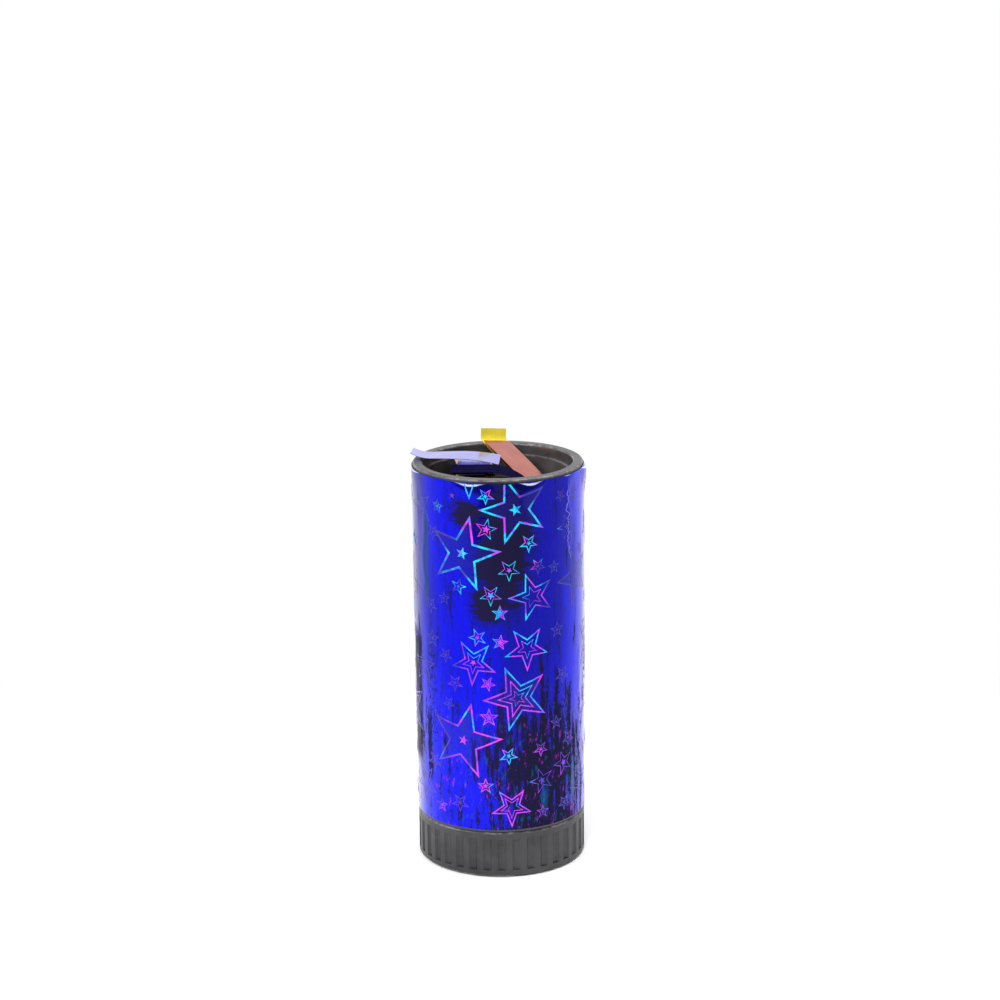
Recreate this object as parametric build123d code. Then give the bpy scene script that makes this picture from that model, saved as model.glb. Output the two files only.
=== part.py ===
from build123d import *

import math
import os

# Spring confetti popper as it stands just after firing: a foil-wrapped barrel on a twist base,
# with the piston at the top of its stroke and the last slips of confetti lying in the mouth.
# Frame: +Z up along the barrel, -Y is the front, origin at the middle of the foot ring.
# All sizes are millimetres, and all angles are degrees.

# Barrel
overall_height = 120.0
barrel_od = 49.6
barrel_wall = 3.0
rim_round = 0.7

# Clearances
glue_gap = 0.05
running_clearance = 0.1
turning_gap = 0.3
slide_clearance = 0.3
lay_gap = 0.2

# Foil wrap
foil_thickness = 0.15
foil_overlap = 6.0
foil_top_margin = 1.0
foil_bottom_margin = 0.7

# Guide sleeve
sleeve_wall = 1.2
mouth_ledge_depth = 3.2
rib_width = 2.4
rib_height = 1.0
rib_angles = (0.0, 180.0)

# Twist base
grip_height = 14.0
grip_chamfer = 0.8
flute_count = 36
flute_radius = 1.6
flute_depth = 0.6
flute_end_band = 2.2
foot_ring_width = 4.2
floor_thickness = 3.0
spigot_height = 18.0
spigot_wall = 2.0
flex_slot_width = 2.4
flex_slot_root = 3.0
bead_height = 0.6
bead_length = 2.6
bead_rise = 9.0
groove_play = 0.3
lug_height = 4.0
lug_width = 18.0
lug_angles = (90.0, 270.0)
twist_travel = 75.0
stop_play = 1.0

# Base plate
plate_thickness = 2.0
plate_recess = 0.6
plate_bevel = 0.4

# Latch post
head_length = 15.0
head_width = 6.0
head_thickness = 3.5
head_bevel = 0.8
stem_diameter = 6.0
key_margin = 0.2
post_foot_length = 22.0
post_foot_width = 13.0
post_foot_thickness = 2.2

# Piston
mouth_depth = 9.4
crown_thickness = 2.0
skirt_height = 9.0
skirt_wall = 1.8
cocked_gap = 1.05
chamber_depth = 11.5
hub_wall = 1.6
hub_floor = 2.6
latch_gap = 0.3
head_clearance = 0.4
key_engagement = 6.0

# Spring
wire_diameter = 1.6
spring_clearance = 1.65
spring_turns = 13
dead_turns = 1.0
ramp_turns = 0.5
dead_turn_gap = 0.5
seat_gap = 0.1
seat_ring_height = 3.0
seat_ring_wall = 1.0
seat_ring_clearance = 0.4

# Wad disc and confetti slips
wad_thickness = 1.5
slip_length = 26.0
slip_width = 9.5
slip_thickness = 0.15
slip_pitch = 0.5
slip_zone_margin = 0.4
floor_slip_headings = (15.0, 70.0, 128.0)
stack_slips = 8
stack_pitch = 0.95
stack_fan = 7.0
bent_slip_flat = 10.5
rim_slip_heading = -4.0
rim_slip_rest_angle = 170.0
rim_slip_overhang = 0.7
leaning_heading = 124.0
leaning_roll = 10.0
leaning_rest_angle = 88.0
leaning_rest_rise = 1.6
leaning_stagger = 3.0
leaning_over_length = 24.5

# Radii that follow from the sizes above
barrel_r = barrel_od / 2
bore_r = barrel_r - barrel_wall
foil_inner_r = barrel_r + glue_gap
foil_r = foil_inner_r + foil_thickness
sleeve_r = bore_r - glue_gap
sleeve_bore_r = sleeve_r - sleeve_wall
spigot_r = bore_r - running_clearance
spigot_bore_r = spigot_r - spigot_wall
bead_r = spigot_r + bead_height
recess_r = barrel_r - foot_ring_width
piston_r = sleeve_bore_r - slide_clearance
rib_inner_r = sleeve_bore_r - rib_height
wad_r = rib_inner_r - slide_clearance
chamber_r = math.hypot(head_length, head_width) / 2 + head_clearance
hub_r = chamber_r + hub_wall
wire_r = wire_diameter / 2
spring_r = piston_r - skirt_wall - spring_clearance - wire_r
seat_ring_r = spring_r - wire_r - seat_ring_clearance
slip_zone_r = wad_r - slip_zone_margin

# Heights that follow from the sizes above
plate_top = plate_recess + plate_thickness
post_foot_low = plate_top + glue_gap
floor_low = post_foot_low + post_foot_thickness + glue_gap
floor_top = floor_low + floor_thickness
barrel_low = grip_height + turning_gap
spigot_top = grip_height + spigot_height
bead_low = grip_height + bead_rise
sleeve_low = spigot_top + turning_gap
sleeve_top = overall_height - mouth_ledge_depth
notch_top = sleeve_low + lug_height + turning_gap
wad_top = overall_height - mouth_depth
crown_top = wad_top - wad_thickness - glue_gap
crown_low = crown_top - crown_thickness
skirt_low = crown_low - skirt_height
cocked_crown_top = spigot_top + cocked_gap + skirt_height + crown_thickness
piston_travel = crown_top - cocked_crown_top
head_low = cocked_crown_top - chamber_depth + latch_gap


def disc(radius, low, high):
    """Round plate about Z between two heights."""
    return Pos(0, 0, (low + high) / 2) * Cylinder(radius, high - low)


def ring(outer, inner, low, high):
    """Tube about Z between two heights."""
    return disc(outer, low, high) - disc(inner, low, high)


def sector(outer, inner, low, high, start, end):
    """Part of a tube about Z, from one angle to another."""
    profile = Rot(90, 0, 0) * Rectangle(outer - inner, high - low)
    profile = Pos((outer + inner) / 2, 0, (low + high) / 2) * profile
    return Rot(0, 0, start) * revolve(profile, Axis.Z, revolution_arc=end - start)


def prism(outline, low, high):
    """Flat outline in XY, extruded between two heights."""
    return Pos(0, 0, low) * extrude(outline, amount=high - low)


def radial_block(inner, outer, width, low, high, angle):
    """Straight bar that runs outwards along one angle."""
    block = Pos((inner + outer) / 2, 0, (low + high) / 2) * Box(outer - inner, width, high - low)
    return Rot(0, 0, angle) * block


# Barrel group: the tube that is held in the hand, its foil and the moulded liner

def make_barrel_tube():
    """Thick black tube with a soft rim and a groove inside for the base's snap bead."""
    tube = ring(barrel_r, bore_r, barrel_low, overall_height)
    groove_r = bead_r + groove_play
    tube -= disc(groove_r, bead_low - groove_play, bead_low + bead_length + groove_play)
    rim_edges = tube.edges().filter_by(GeomType.CIRCLE).group_by(Axis.Z)[-1]
    return fillet(rim_edges, min(rim_round, 0.4 * barrel_wall))


def make_foil_wrap():
    """Film glued round the tube, with its end lapped over its start at the back."""
    low = barrel_low + foil_bottom_margin
    high = overall_height - foil_top_margin
    half_lap = math.degrees(foil_overlap / foil_r) / 2
    lap = sector(foil_r + foil_thickness, foil_r, low, high, 90 - half_lap, 90 + half_lap)
    return ring(foil_r, foil_inner_r, low, high) + lap


def make_guide_sleeve():
    """Liner that ends below the rim, with ribs that key the piston and notches that stop the twist."""
    sleeve = ring(sleeve_r, sleeve_bore_r, sleeve_low, sleeve_top)
    for angle in rib_angles:
        rib_top = skirt_low + key_engagement
        sleeve += radial_block(rib_inner_r, sleeve_r - sleeve_wall / 2, rib_width, notch_top, rib_top, angle)
    for angle in lug_angles:
        end = angle + lug_width / 2 + stop_play
        start = angle - lug_width / 2 - twist_travel - stop_play
        sleeve -= sector(sleeve_r + sleeve_wall, sleeve_bore_r - sleeve_wall, sleeve_low - lug_height,
                         notch_top, start, end)
    return sleeve


# Base group: what the other hand twists

def make_snap_bead():
    """Bead round the spigot: a long lead-in above, a steep shoulder below."""
    root_r = spigot_r - spigot_wall / 2
    shoulder = bead_length / 5
    crest = bead_length / 2
    with BuildSketch(Plane.XZ) as profile:
        Polygon(
            (root_r, bead_low),
            (spigot_r, bead_low),
            (bead_r, bead_low + shoulder),
            (bead_r, bead_low + crest),
            (spigot_r, bead_low + bead_length),
            (root_r, bead_low + bead_length),
            align=None,
        )
    return revolve(profile.sketch, Axis.Z)


def make_twist_base():
    """Fluted grip with a snap spigot above, a spring seat inside and a recess for the plate below."""
    grip = disc(barrel_r, 0, grip_height)
    grip = chamfer(grip.edges().group_by(Axis.Z)[0], grip_chamfer)
    grip = chamfer(grip.edges().group_by(Axis.Z)[-1], grip_chamfer / 2)
    flute = Pos(barrel_r + flute_radius - flute_depth, 0, 0) * disc(
        flute_radius, flute_end_band, grip_height - flute_end_band)
    grip -= [Rot(0, 0, i * 360 / flute_count) * flute for i in range(flute_count)]

    spigot = disc(spigot_r, floor_low, spigot_top)
    base = grip + spigot + make_snap_bead()
    base -= disc(spigot_bore_r, floor_top, spigot_top)
    base -= disc(recess_r, 0, floor_low)
    for i in range(4):
        base -= radial_block(spigot_bore_r - 1, bead_r + 1, flex_slot_width,
                             grip_height + flex_slot_root, spigot_top, 45 + 90 * i)
    lug_inner_r = sleeve_bore_r + running_clearance
    lug_low = spigot_top - spigot_wall
    lug_top = spigot_top + lug_height
    for angle in lug_angles:
        base += sector(spigot_r, lug_inner_r, lug_low, lug_top, angle - lug_width / 2, angle + lug_width / 2)
    base += ring(seat_ring_r, seat_ring_r - seat_ring_wall, floor_top, floor_top + seat_ring_height)
    key_length = head_length + 2 * (key_margin + glue_gap)
    key_width = head_width + 2 * (key_margin + glue_gap)
    base -= prism(SlotOverall(key_length, key_width), floor_low, floor_top)
    return base


def make_base_plate():
    """Disc pressed into the underside, which holds the foot of the latch post."""
    plate = disc(recess_r - glue_gap, plate_recess, plate_top)
    return chamfer(plate.edges().group_by(Axis.Z)[0], plate_bevel)


def make_latch_post():
    """Post with a T head: the piston's keyhole passes over the head, and a twist locks it there."""
    foot = Pos(0, 0, post_foot_low + post_foot_thickness / 2) * Box(
        post_foot_length, post_foot_width, post_foot_thickness)
    foot = fillet(foot.edges().filter_by(Axis.Z), post_foot_width / 4)
    key_outline = SlotOverall(head_length + 2 * key_margin, head_width + 2 * key_margin)
    key = prism(key_outline, post_foot_low + post_foot_thickness, floor_top)
    stem = disc(stem_diameter / 2, floor_top, head_low)
    head = prism(SlotOverall(head_length, head_width), head_low, head_low + head_thickness)
    head = chamfer(head.edges().group_by(Axis.Z)[-1], head_bevel)
    return foot + key + stem + head


# Piston group: what the spring throws up the barrel

def make_piston():
    """Cup with a flat crown, a keyed skirt and a hub whose floor has the latch keyhole."""
    hub_floor_low = crown_top - chamber_depth - hub_floor
    piston = disc(piston_r, skirt_low, crown_top) - disc(piston_r - skirt_wall, skirt_low, crown_low)
    piston += disc(hub_r, hub_floor_low, crown_top)
    piston -= disc(chamber_r, crown_top - chamber_depth, crown_top)
    keyhole = SlotOverall(head_length + 2 * head_clearance, head_width + 2 * head_clearance)
    piston -= prism(keyhole, hub_floor_low, crown_top - chamber_depth)
    for angle in rib_angles:
        piston -= radial_block(rib_inner_r - slide_clearance, piston_r + 1, rib_width + 2 * slide_clearance,
                               skirt_low, crown_top, angle)
    seat_ring_low = crown_low - seat_ring_height / 2
    return piston + ring(seat_ring_r, seat_ring_r - seat_ring_wall, seat_ring_low, crown_low)


def make_wad_disc():
    """Card disc on the crown, which closes the hub and carries the confetti."""
    return disc(wad_r, crown_top + glue_gap, wad_top)


# Spring

def spring_height(turn, rise, close_pitch, open_pitch):
    """Height above the first turn: close end turns, a short ramp each side, open turns between."""
    if turn > spring_turns / 2:
        return rise - spring_height(spring_turns - turn, rise, close_pitch, open_pitch)
    height = close_pitch * min(turn, dead_turns)
    in_ramp = min(max(turn - dead_turns, 0.0), ramp_turns)
    height += close_pitch * in_ramp + (open_pitch - close_pitch) * in_ramp ** 2 / (2 * ramp_turns)
    return height + open_pitch * max(turn - dead_turns - ramp_turns, 0.0)


def biarc(start, start_tangent, end, end_tangent):
    """Two arcs that meet smoothly and join two points with the given directions."""
    chord = end - start
    both = start_tangent + end_tangent
    a = 2 * (start_tangent.dot(end_tangent) - 1)
    b = -2 * chord.dot(both)
    c = chord.dot(chord)
    reach = (-b - math.sqrt(b * b - 4 * a * c)) / (2 * a)
    first_corner = start + start_tangent * reach
    second_corner = end - end_tangent * reach
    middle = (first_corner + second_corner) * 0.5
    middle_tangent = (second_corner - first_corner).normalized()
    return [
        Edge.make_tangent_arc(start, start_tangent, middle),
        Edge.make_tangent_arc(middle, middle_tangent, end),
    ]


def make_spring():
    """Compression spring at its fired length, from the base's seat to the piston's crown."""
    low = floor_top + seat_gap + wire_r
    rise = crown_low - seat_gap - wire_r - low
    close_pitch = wire_diameter + dead_turn_gap
    end_rise = close_pitch * (2 * dead_turns + ramp_turns)
    open_pitch = (rise - end_rise) / (spring_turns - 2 * dead_turns - ramp_turns)

    def point(turn):
        angle = math.tau * turn
        height = low + spring_height(turn, rise, close_pitch, open_pitch)
        return Vector(spring_r * math.cos(angle), spring_r * math.sin(angle), height)

    def pitch(turn):
        inward = min(turn, spring_turns - turn)
        share = min(max((inward - dead_turns) / ramp_turns, 0.0), 1.0)
        return close_pitch + (open_pitch - close_pitch) * share

    def tangent(turn):
        angle = math.tau * turn
        round_step = math.tau * spring_r
        return Vector(-round_step * math.sin(angle), round_step * math.cos(angle), pitch(turn)).normalized()

    edges = []
    for half in range(2 * spring_turns):
        start, end = half / 2, (half + 1) / 2
        edges += biarc(point(start), tangent(start), point(end), tangent(end))
    samples = [point(i / 24) for i in range(24 * spring_turns + 1)]
    least = min(samples[i + 24].Z - samples[i].Z for i in range(len(samples) - 24)) - wire_diameter
    print("spring: open pitch", round(open_pitch, 2), "least gap between turns", round(least, 2))
    section = Plane(point(0), z_dir=tangent(0)) * Circle(wire_r)
    return sweep(section, path=Wire(edges))


# Confetti: thin metallic slips, grouped by colour

def slip_frame(heading, lean=0.0, roll=0.0):
    """Plane of a slip that rises towards its heading and is rolled about its length."""
    return Plane(Rot(0, 0, heading) * Rot(0, -lean, 0) * Rot(roll, 0, 0))


def lay_slip(frame, centre, spin=0.0, length=slip_length):
    """Flat slip in a plane, spun in that plane and moved to its place."""
    slip = Box(length, slip_width, slip_thickness)
    return Pos(*centre) * frame.location * Rot(0, 0, spin) * slip


def make_floor_slips():
    """Slips that lie flat and crossed on the wad disc, bottom slip first."""
    low = wad_top + lay_gap + slip_thickness / 2
    return [
        lay_slip(slip_frame(heading), (0, 0, low + i * slip_pitch))
        for i, heading in enumerate(floor_slip_headings)
    ]


floor_slips_top = wad_top + lay_gap + (len(floor_slip_headings) - 1) * slip_pitch + slip_thickness


def stack_place():
    """Middle of the lowest slip of the stack on the left of the mouth."""
    fan = math.radians(stack_fan)
    corner = (slip_length * math.cos(fan) + slip_width * math.sin(fan)) / 2
    side = (slip_width * math.cos(fan) + slip_length * math.sin(fan)) / 2
    offset = math.sqrt(slip_zone_r ** 2 - corner ** 2) - side
    return Vector(-offset, 0, floor_slips_top + lay_gap + slip_thickness / 2)


def make_stack():
    """Slips in a loose level stack on the left, bottom slip first."""
    low = stack_place()
    return [
        lay_slip(slip_frame(270), low + Vector(0, 0, i * stack_pitch), stack_fan * math.sin(2.4 * i))
        for i in range(stack_slips)
    ]


def make_bent_slip():
    """Slip across the front end of the stack, which bends down to the right."""
    level = stack_place() + Vector(0, 0, (stack_slips - 1) * stack_pitch + slip_pitch)
    half_length = slip_length / 2
    front = min(half_length, math.sqrt(slip_zone_r ** 2 - half_length ** 2))
    middle = Vector(0, slip_width / 2 - front, level.Z)
    left_end = lay_gap - math.sqrt(slip_zone_r ** 2 - front ** 2)
    bend = slip_length - bent_slip_flat
    floor_rest = floor_slips_top + 2 * lay_gap
    reach = math.sqrt(bend ** 2 - (level.Z - floor_rest) ** 2)
    end_corner = Vector(left_end + bent_slip_flat + reach, slip_width - front, 0)
    bend_r = bend ** 2 / (2 * (level.Z - max(floor_rest, leaning_top(end_corner) + lay_gap)))
    flat = Pos(left_end + bent_slip_flat / 2, 0, 0) * Box(bent_slip_flat, slip_width, slip_thickness)
    curl = sector(bend_r + slip_thickness / 2, bend_r - slip_thickness / 2, -slip_width / 2, slip_width / 2,
                  90 - math.degrees(bend / bend_r), 90)
    curl = Plane((left_end + bent_slip_flat, 0, -bend_r), x_dir=(1, 0, 0), z_dir=(0, -1, 0)) * curl
    return Pos(*middle) * (flat + curl)


def leaning_place():
    """Plane of the slips that lean on the rim, and the middle of the lower one."""
    rest = math.radians(leaning_rest_angle)
    corner = Vector((foil_r - lay_gap) * math.cos(rest), (foil_r - lay_gap) * math.sin(rest),
                    overall_height + lay_gap + leaning_rest_rise)
    rise = corner.Z - floor_slips_top - lay_gap
    frame = slip_frame(leaning_heading, math.degrees(math.asin(rise / slip_length)), leaning_roll)
    return frame, corner - frame.x_dir * (slip_length / 2) + frame.y_dir * (slip_width / 2)


def leaning_top(place):
    """Height of the upper leaning slip's face straight above a place."""
    frame, centre = leaning_place()
    face = centre + frame.z_dir * (slip_pitch + slip_thickness / 2)
    return place.Z + (face - place).dot(frame.z_dir) / frame.z_dir.Z


def make_rim_slips():
    """Slips that rest on the rim: one across the left, and two that lean out over the back."""
    level = overall_height + lay_gap + slip_thickness / 2
    side = math.radians(rim_slip_rest_angle)
    reach = foil_r + rim_slip_overhang
    frame = slip_frame(rim_slip_heading)
    across_end = Vector(reach * math.cos(side), reach * math.sin(side), level)
    across = lay_slip(frame, across_end + frame.x_dir * (slip_length / 2))

    frame, centre = leaning_place()
    under = lay_slip(frame, centre)
    back = leaning_stagger + (slip_length - leaning_over_length) / 2
    over = lay_slip(frame, centre - frame.x_dir * back + frame.z_dir * slip_pitch, 0.0, leaning_over_length)
    return across, over, under


def make_wad_slips():
    """Every slip that rides on the wad disc, by colour."""
    floor = make_floor_slips()
    stack = make_stack()
    return {
        "confetti_blue": [floor[2], stack[2], stack[7], make_bent_slip()],
        "confetti_copper": [floor[0], stack[0], stack[4], stack[6]],
        "confetti_gold": [stack[1], stack[5]],
        "confetti_purple": [floor[1], stack[3]],
    }


rim_slip_blue, rim_slip_copper, rim_slip_gold = make_rim_slips()
parts = {
    "barrel_tube": make_barrel_tube(),
    "foil_wrap": make_foil_wrap(),
    "guide_sleeve": make_guide_sleeve(),
    "rim_slip_blue": rim_slip_blue,
    "rim_slip_copper": rim_slip_copper,
    "rim_slip_gold": rim_slip_gold,
    "twist_base": make_twist_base(),
    "base_plate": make_base_plate(),
    "latch_post": make_latch_post(),
    "spring": make_spring(),
    "piston": make_piston(),
    "wad_disc": make_wad_disc(),
}
for colour, slips in make_wad_slips().items():
    parts[colour] = Compound(children=slips)

os.makedirs("parts", exist_ok=True)
for node, shape in parts.items():
    export_step(shape, f"parts/{node}.step")
print("piston travel", round(piston_travel, 3), "latch head underside", round(head_low, 3))
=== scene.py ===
import functools
import math

import bmesh
import bpy
from mathutils import Matrix, Vector


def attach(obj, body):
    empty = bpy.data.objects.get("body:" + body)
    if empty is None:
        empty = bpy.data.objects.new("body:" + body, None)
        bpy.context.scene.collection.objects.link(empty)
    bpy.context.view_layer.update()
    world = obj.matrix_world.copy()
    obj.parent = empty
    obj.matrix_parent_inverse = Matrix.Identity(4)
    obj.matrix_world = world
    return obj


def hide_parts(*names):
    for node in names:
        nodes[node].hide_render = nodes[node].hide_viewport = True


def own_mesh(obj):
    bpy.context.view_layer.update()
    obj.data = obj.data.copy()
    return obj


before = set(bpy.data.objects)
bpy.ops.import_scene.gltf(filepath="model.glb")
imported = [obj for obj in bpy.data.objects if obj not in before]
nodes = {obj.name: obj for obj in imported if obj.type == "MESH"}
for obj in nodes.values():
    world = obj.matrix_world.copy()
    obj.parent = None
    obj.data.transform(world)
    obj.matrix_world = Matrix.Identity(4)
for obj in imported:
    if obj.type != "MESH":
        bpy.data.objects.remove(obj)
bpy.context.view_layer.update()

# Spring confetti popper, fired: star foil round a black barrel, the last slips lying in its mouth.
# Metres, +Z up along the barrel, -Y is the front.

mm = 0.001
sharp_angle = 0.7
sheet_weld = 1e-7
corner_weld = 1e-6

# Foil: its flat sheet is measured along the barrel's round from the front, and up
foil_face_r = 25.0 * mm
foil_thickness = 0.12 * mm
foil_low = 15.0 * mm
foil_high = 119.0 * mm
foil_overlap = 6.0 * mm
foil_half_round = math.pi * foil_face_r
foil_end = foil_half_round + foil_overlap / 2
foil_step = 0.75 * mm

# Slips
slip_length = 26.0 * mm
slip_width = 9.5 * mm
slip_thickness = 0.12 * mm
bent_slip_flat = 10.5 * mm
bent_slip_radius = 17.1 * mm

# Spring
spring_r = 16.0 * mm
wire_r = 0.8 * mm
wire_sides = 14
spring_turns = 13
spring_low = 8.8 * mm
spring_high = 106.15 * mm
close_pitch = 2.1 * mm
dead_turns = 1.0
ramp_turns = 0.5
steps_a_turn = 40


# Node trees

def reckoned(operation, second=False):
    """Method of a value that makes a Math node, with the value first or second."""
    def method(self, other):
        return calc(operation, other, self) if second else calc(operation, self, other)
    return method


class Value:
    """Output of a node, which can be reckoned with like a number."""

    def __init__(self, socket):
        self.socket = socket
        self.tree = socket.id_data

    def __abs__(self):
        return calc("ABSOLUTE", self)

    __add__ = reckoned("ADD")
    __radd__ = reckoned("ADD", True)
    __sub__ = reckoned("SUBTRACT")
    __rsub__ = reckoned("SUBTRACT", True)
    __mul__ = reckoned("MULTIPLY")
    __truediv__ = reckoned("DIVIDE")
    __rtruediv__ = reckoned("DIVIDE", True)


def feed(value, socket):
    """Link a value, or set a plain one."""
    if isinstance(value, Value):
        value.tree.links.new(value.socket, socket)
    else:
        socket.default_value = value


def add(tree, kind, inputs=None, **settings):
    """New node with its settings and inputs."""
    made = tree.nodes.new(kind)
    for name, value in settings.items():
        setattr(made, name, value)
    for name, value in (inputs or {}).items():
        feed(value, made.inputs[name])
    return made


def put(tree, kind, inputs=None, output=0, **settings):
    """Puts in a new node and takes one of its outputs."""
    return Value(add(tree, kind, inputs, **settings).outputs[output])


def tree_of(values):
    return next(value.tree for value in values if isinstance(value, Value))


def calc(operation, *values):
    """Result of a Math node."""
    return put(tree_of(values), "ShaderNodeMath", dict(enumerate(values)), operation=operation)


def largest(*values):
    return functools.reduce(functools.partial(calc, "MAXIMUM"), values)


def distance(first, second):
    return calc("SQRT", first * first + second * second)


def bell(value, middle, spread):
    """Smooth hump that is 1 at its middle and falls off over its spread."""
    off = (value - middle) / spread
    return calc("EXPONENT", off * off * -1.0)


def oval(along, up, place):
    """0 in the middle of an oval and 1 on its edge, for (along, up, half width, half height)."""
    middle, height, half_width, half_height = place
    x = (along - middle) / half_width
    y = (up - height) / half_height
    return x * x + y * y


def remap(value, low, high, to_low=0.0, to_high=1.0, smooth=True):
    """Value taken from one range to another, held at the ends."""
    return put(value.tree, "ShaderNodeMapRange", {
        "Value": value, "From Min": low, "From Max": high, "To Min": to_low, "To Max": to_high,
    }, interpolation_type="SMOOTHSTEP" if smooth else "LINEAR")


def vector(x, y, z):
    return put(tree_of((x, y, z)), "ShaderNodeCombineXYZ", {"X": x, "Y": y, "Z": z})


def split(value):
    return [Value(part) for part in add(value.tree, "ShaderNodeSeparateXYZ", {"Vector": value}).outputs]


def noise(place, scale=1.0, detail=2.0, roughness=0.5, distortion=0.0):
    return put(place.tree, "ShaderNodeTexNoise", {
        "Vector": place, "Scale": scale, "Detail": detail, "Roughness": roughness,
        "Distortion": distortion,
    })


def flat_noise(along, up, width, height, seed, detail=1.0, roughness=0.5):
    """Noise on the flat foil, stretched to a width and a height."""
    return noise(vector(along / width, up / height, seed), detail=detail, roughness=roughness)


def swing(value, spread):
    """Noise taken to both sides of 0, over a spread."""
    return (value - 0.5) * spread


def wander(up, length, row, seed, spread):
    """Sideways drift of a line on its way up."""
    return swing(noise(vector(row, up / length, seed)), spread)


def blend_colour(share, first, second, mode="MIX"):
    return put(share.tree, "ShaderNodeMix", {0: share, 6: first, 7: second}, 2,
               data_type="RGBA", blend_type=mode)


def new_group(name, kind, *inputs):
    """Node tree with inputs, given as (name, type, default), and their values by name."""
    tree = bpy.data.node_groups.new(name, kind)
    for label, socket, default in inputs:
        made = tree.interface.new_socket(label, in_out="INPUT", socket_type="NodeSocket" + socket)
        if default is not None:
            made.default_value = default
    given = tree.nodes.new("NodeGroupInput").outputs
    return tree, {label: Value(given[label]) for label, socket, default in inputs}


def end_group(tree, results):
    """Gives a tree its results by name."""
    for name, value in results.items():
        tree.interface.new_socket(name, in_out="OUTPUT", socket_type=value.socket.bl_idname)
    add(tree, "NodeGroupOutput", results)
    return tree


# Geometry Nodes: the foil's wrapped surface and what lies on it

def new_geometry_tree(name, *sizes):
    """Tree that makes a geometry from a geometry, its sizes and a material."""
    geometry, material = [(label, label, None) for label in ("Geometry", "Material")]
    return new_group(name, "GeometryNodeTree", geometry, *sizes, material)


def step(geometry, kind, inputs=None, **settings):
    """A geometry after one more Geometry Nodes step."""
    return put(geometry.tree, kind, {0: geometry, **(inputs or {})}, **settings)


def end_geometry_tree(geometry, material):
    real = step(geometry, "GeometryNodeRealizeInstances")
    done = step(real, "GeometryNodeSetMaterial", {"Material": material})
    return end_group(geometry.tree, {"Geometry": done})


def join(geometries):
    made = add(tree_of(geometries), "GeometryNodeJoinGeometry")
    for geometry in geometries:
        feed(geometry, made.inputs["Geometry"])
    return Value(made.outputs["Geometry"])


# Wrinkles, in millimetres apart from the seed: spacing, length, seed, height
wrinkles = ((5.2, 34.0, 3.1, 0.16), (1.9, 11.0, 8.7, 0.05))
# Places where the top edge stands off the barrel, in millimetres: along, spread, lift
loose_places = (
    (-8.2, 4.6, 0.42), (9.6, 3.6, 0.42), (37.0, 5.0, 0.75), (-33.0, 6.0, 0.3),
    (-55.0, 7.0, 0.5), (58.0, 6.0, 0.45), (68.0, 3.5, 0.4), (23.0, 2.5, 0.2),
)
loose_depth = 1.9 * mm
# Ridges, in millimetres: along, bottom, top, height
ridge_places = (
    (23.5, 92.0, 119.0, 0.22), (-25.5, 82.0, 112.0, 0.16), (-30.0, 36.0, 68.0, 0.24),
    (29.0, 30.0, 66.0, 0.16), (-52.0, 60.0, 110.0, 0.2), (49.0, 70.0, 117.0, 0.2),
    (61.0, 20.0, 58.0, 0.2), (-66.0, 24.0, 72.0, 0.22),
)
ridge_spread = 0.55 * mm
ridge_drift = 4.5 * mm
ridge_drift_length = 6.5 * mm
ridge_fade = 6.0
ridge_past = 2.0
# The lap at the seam: where it starts to rise and where it is up, short of half way round
lap_starts = 5.6 * mm
lap_is_up = 3.2 * mm
lap_height = 0.17 * mm
flat_by_seam = 3.0 * mm
wrinkled_from = 14.0 * mm


def make_foil_surface_group():
    """Takes a place on the flat foil (along, up, above) to its place on the wrapped, wrinkled foil."""
    tree, given = new_group("foil_surface", "GeometryNodeTree", ("Flat Place", "Vector", None))
    along, up, above = split(given["Flat Place"])
    away_from_seam = remap(foil_half_round - abs(along), flat_by_seam, wrinkled_from)
    ripple = away_from_seam * sum(
        flat_noise(along, up, spacing * mm, length * mm, seed) * (height * mm)
        for spacing, length, seed, height in wrinkles)

    drop = (foil_high - up) / loose_depth
    edge_profile = drop * calc("EXPONENT", 1.0 - drop)
    loose = edge_profile * sum(
        bell(along, place * mm, spread * mm) * (lift * mm) for place, spread, lift in loose_places)

    ridges = 0.0
    for number, (place, low, high, height) in enumerate(ridge_places):
        middle = wander(up, ridge_drift_length, number * 2.7, 1.3, ridge_drift) + place * mm
        ridge = calc("EXPONENT", abs(along - middle) / -ridge_spread)
        end = high + ridge_past
        grows = remap(up, low * mm, (low + ridge_fade) * mm)
        ends = remap(up, end * mm, (end - ridge_fade) * mm)
        ridges += ridge * grows * ends * (height * mm)

    lap = remap(along, foil_half_round - lap_starts, foil_half_round - lap_is_up) * lap_height
    radius = ripple + loose + ridges + lap + above + foil_face_r
    angle = along / foil_face_r
    x = radius * calc("SINE", angle)
    y = radius * calc("COSINE", angle) * -1.0
    return end_group(tree, {"Position": vector(x, y, up)})


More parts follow.
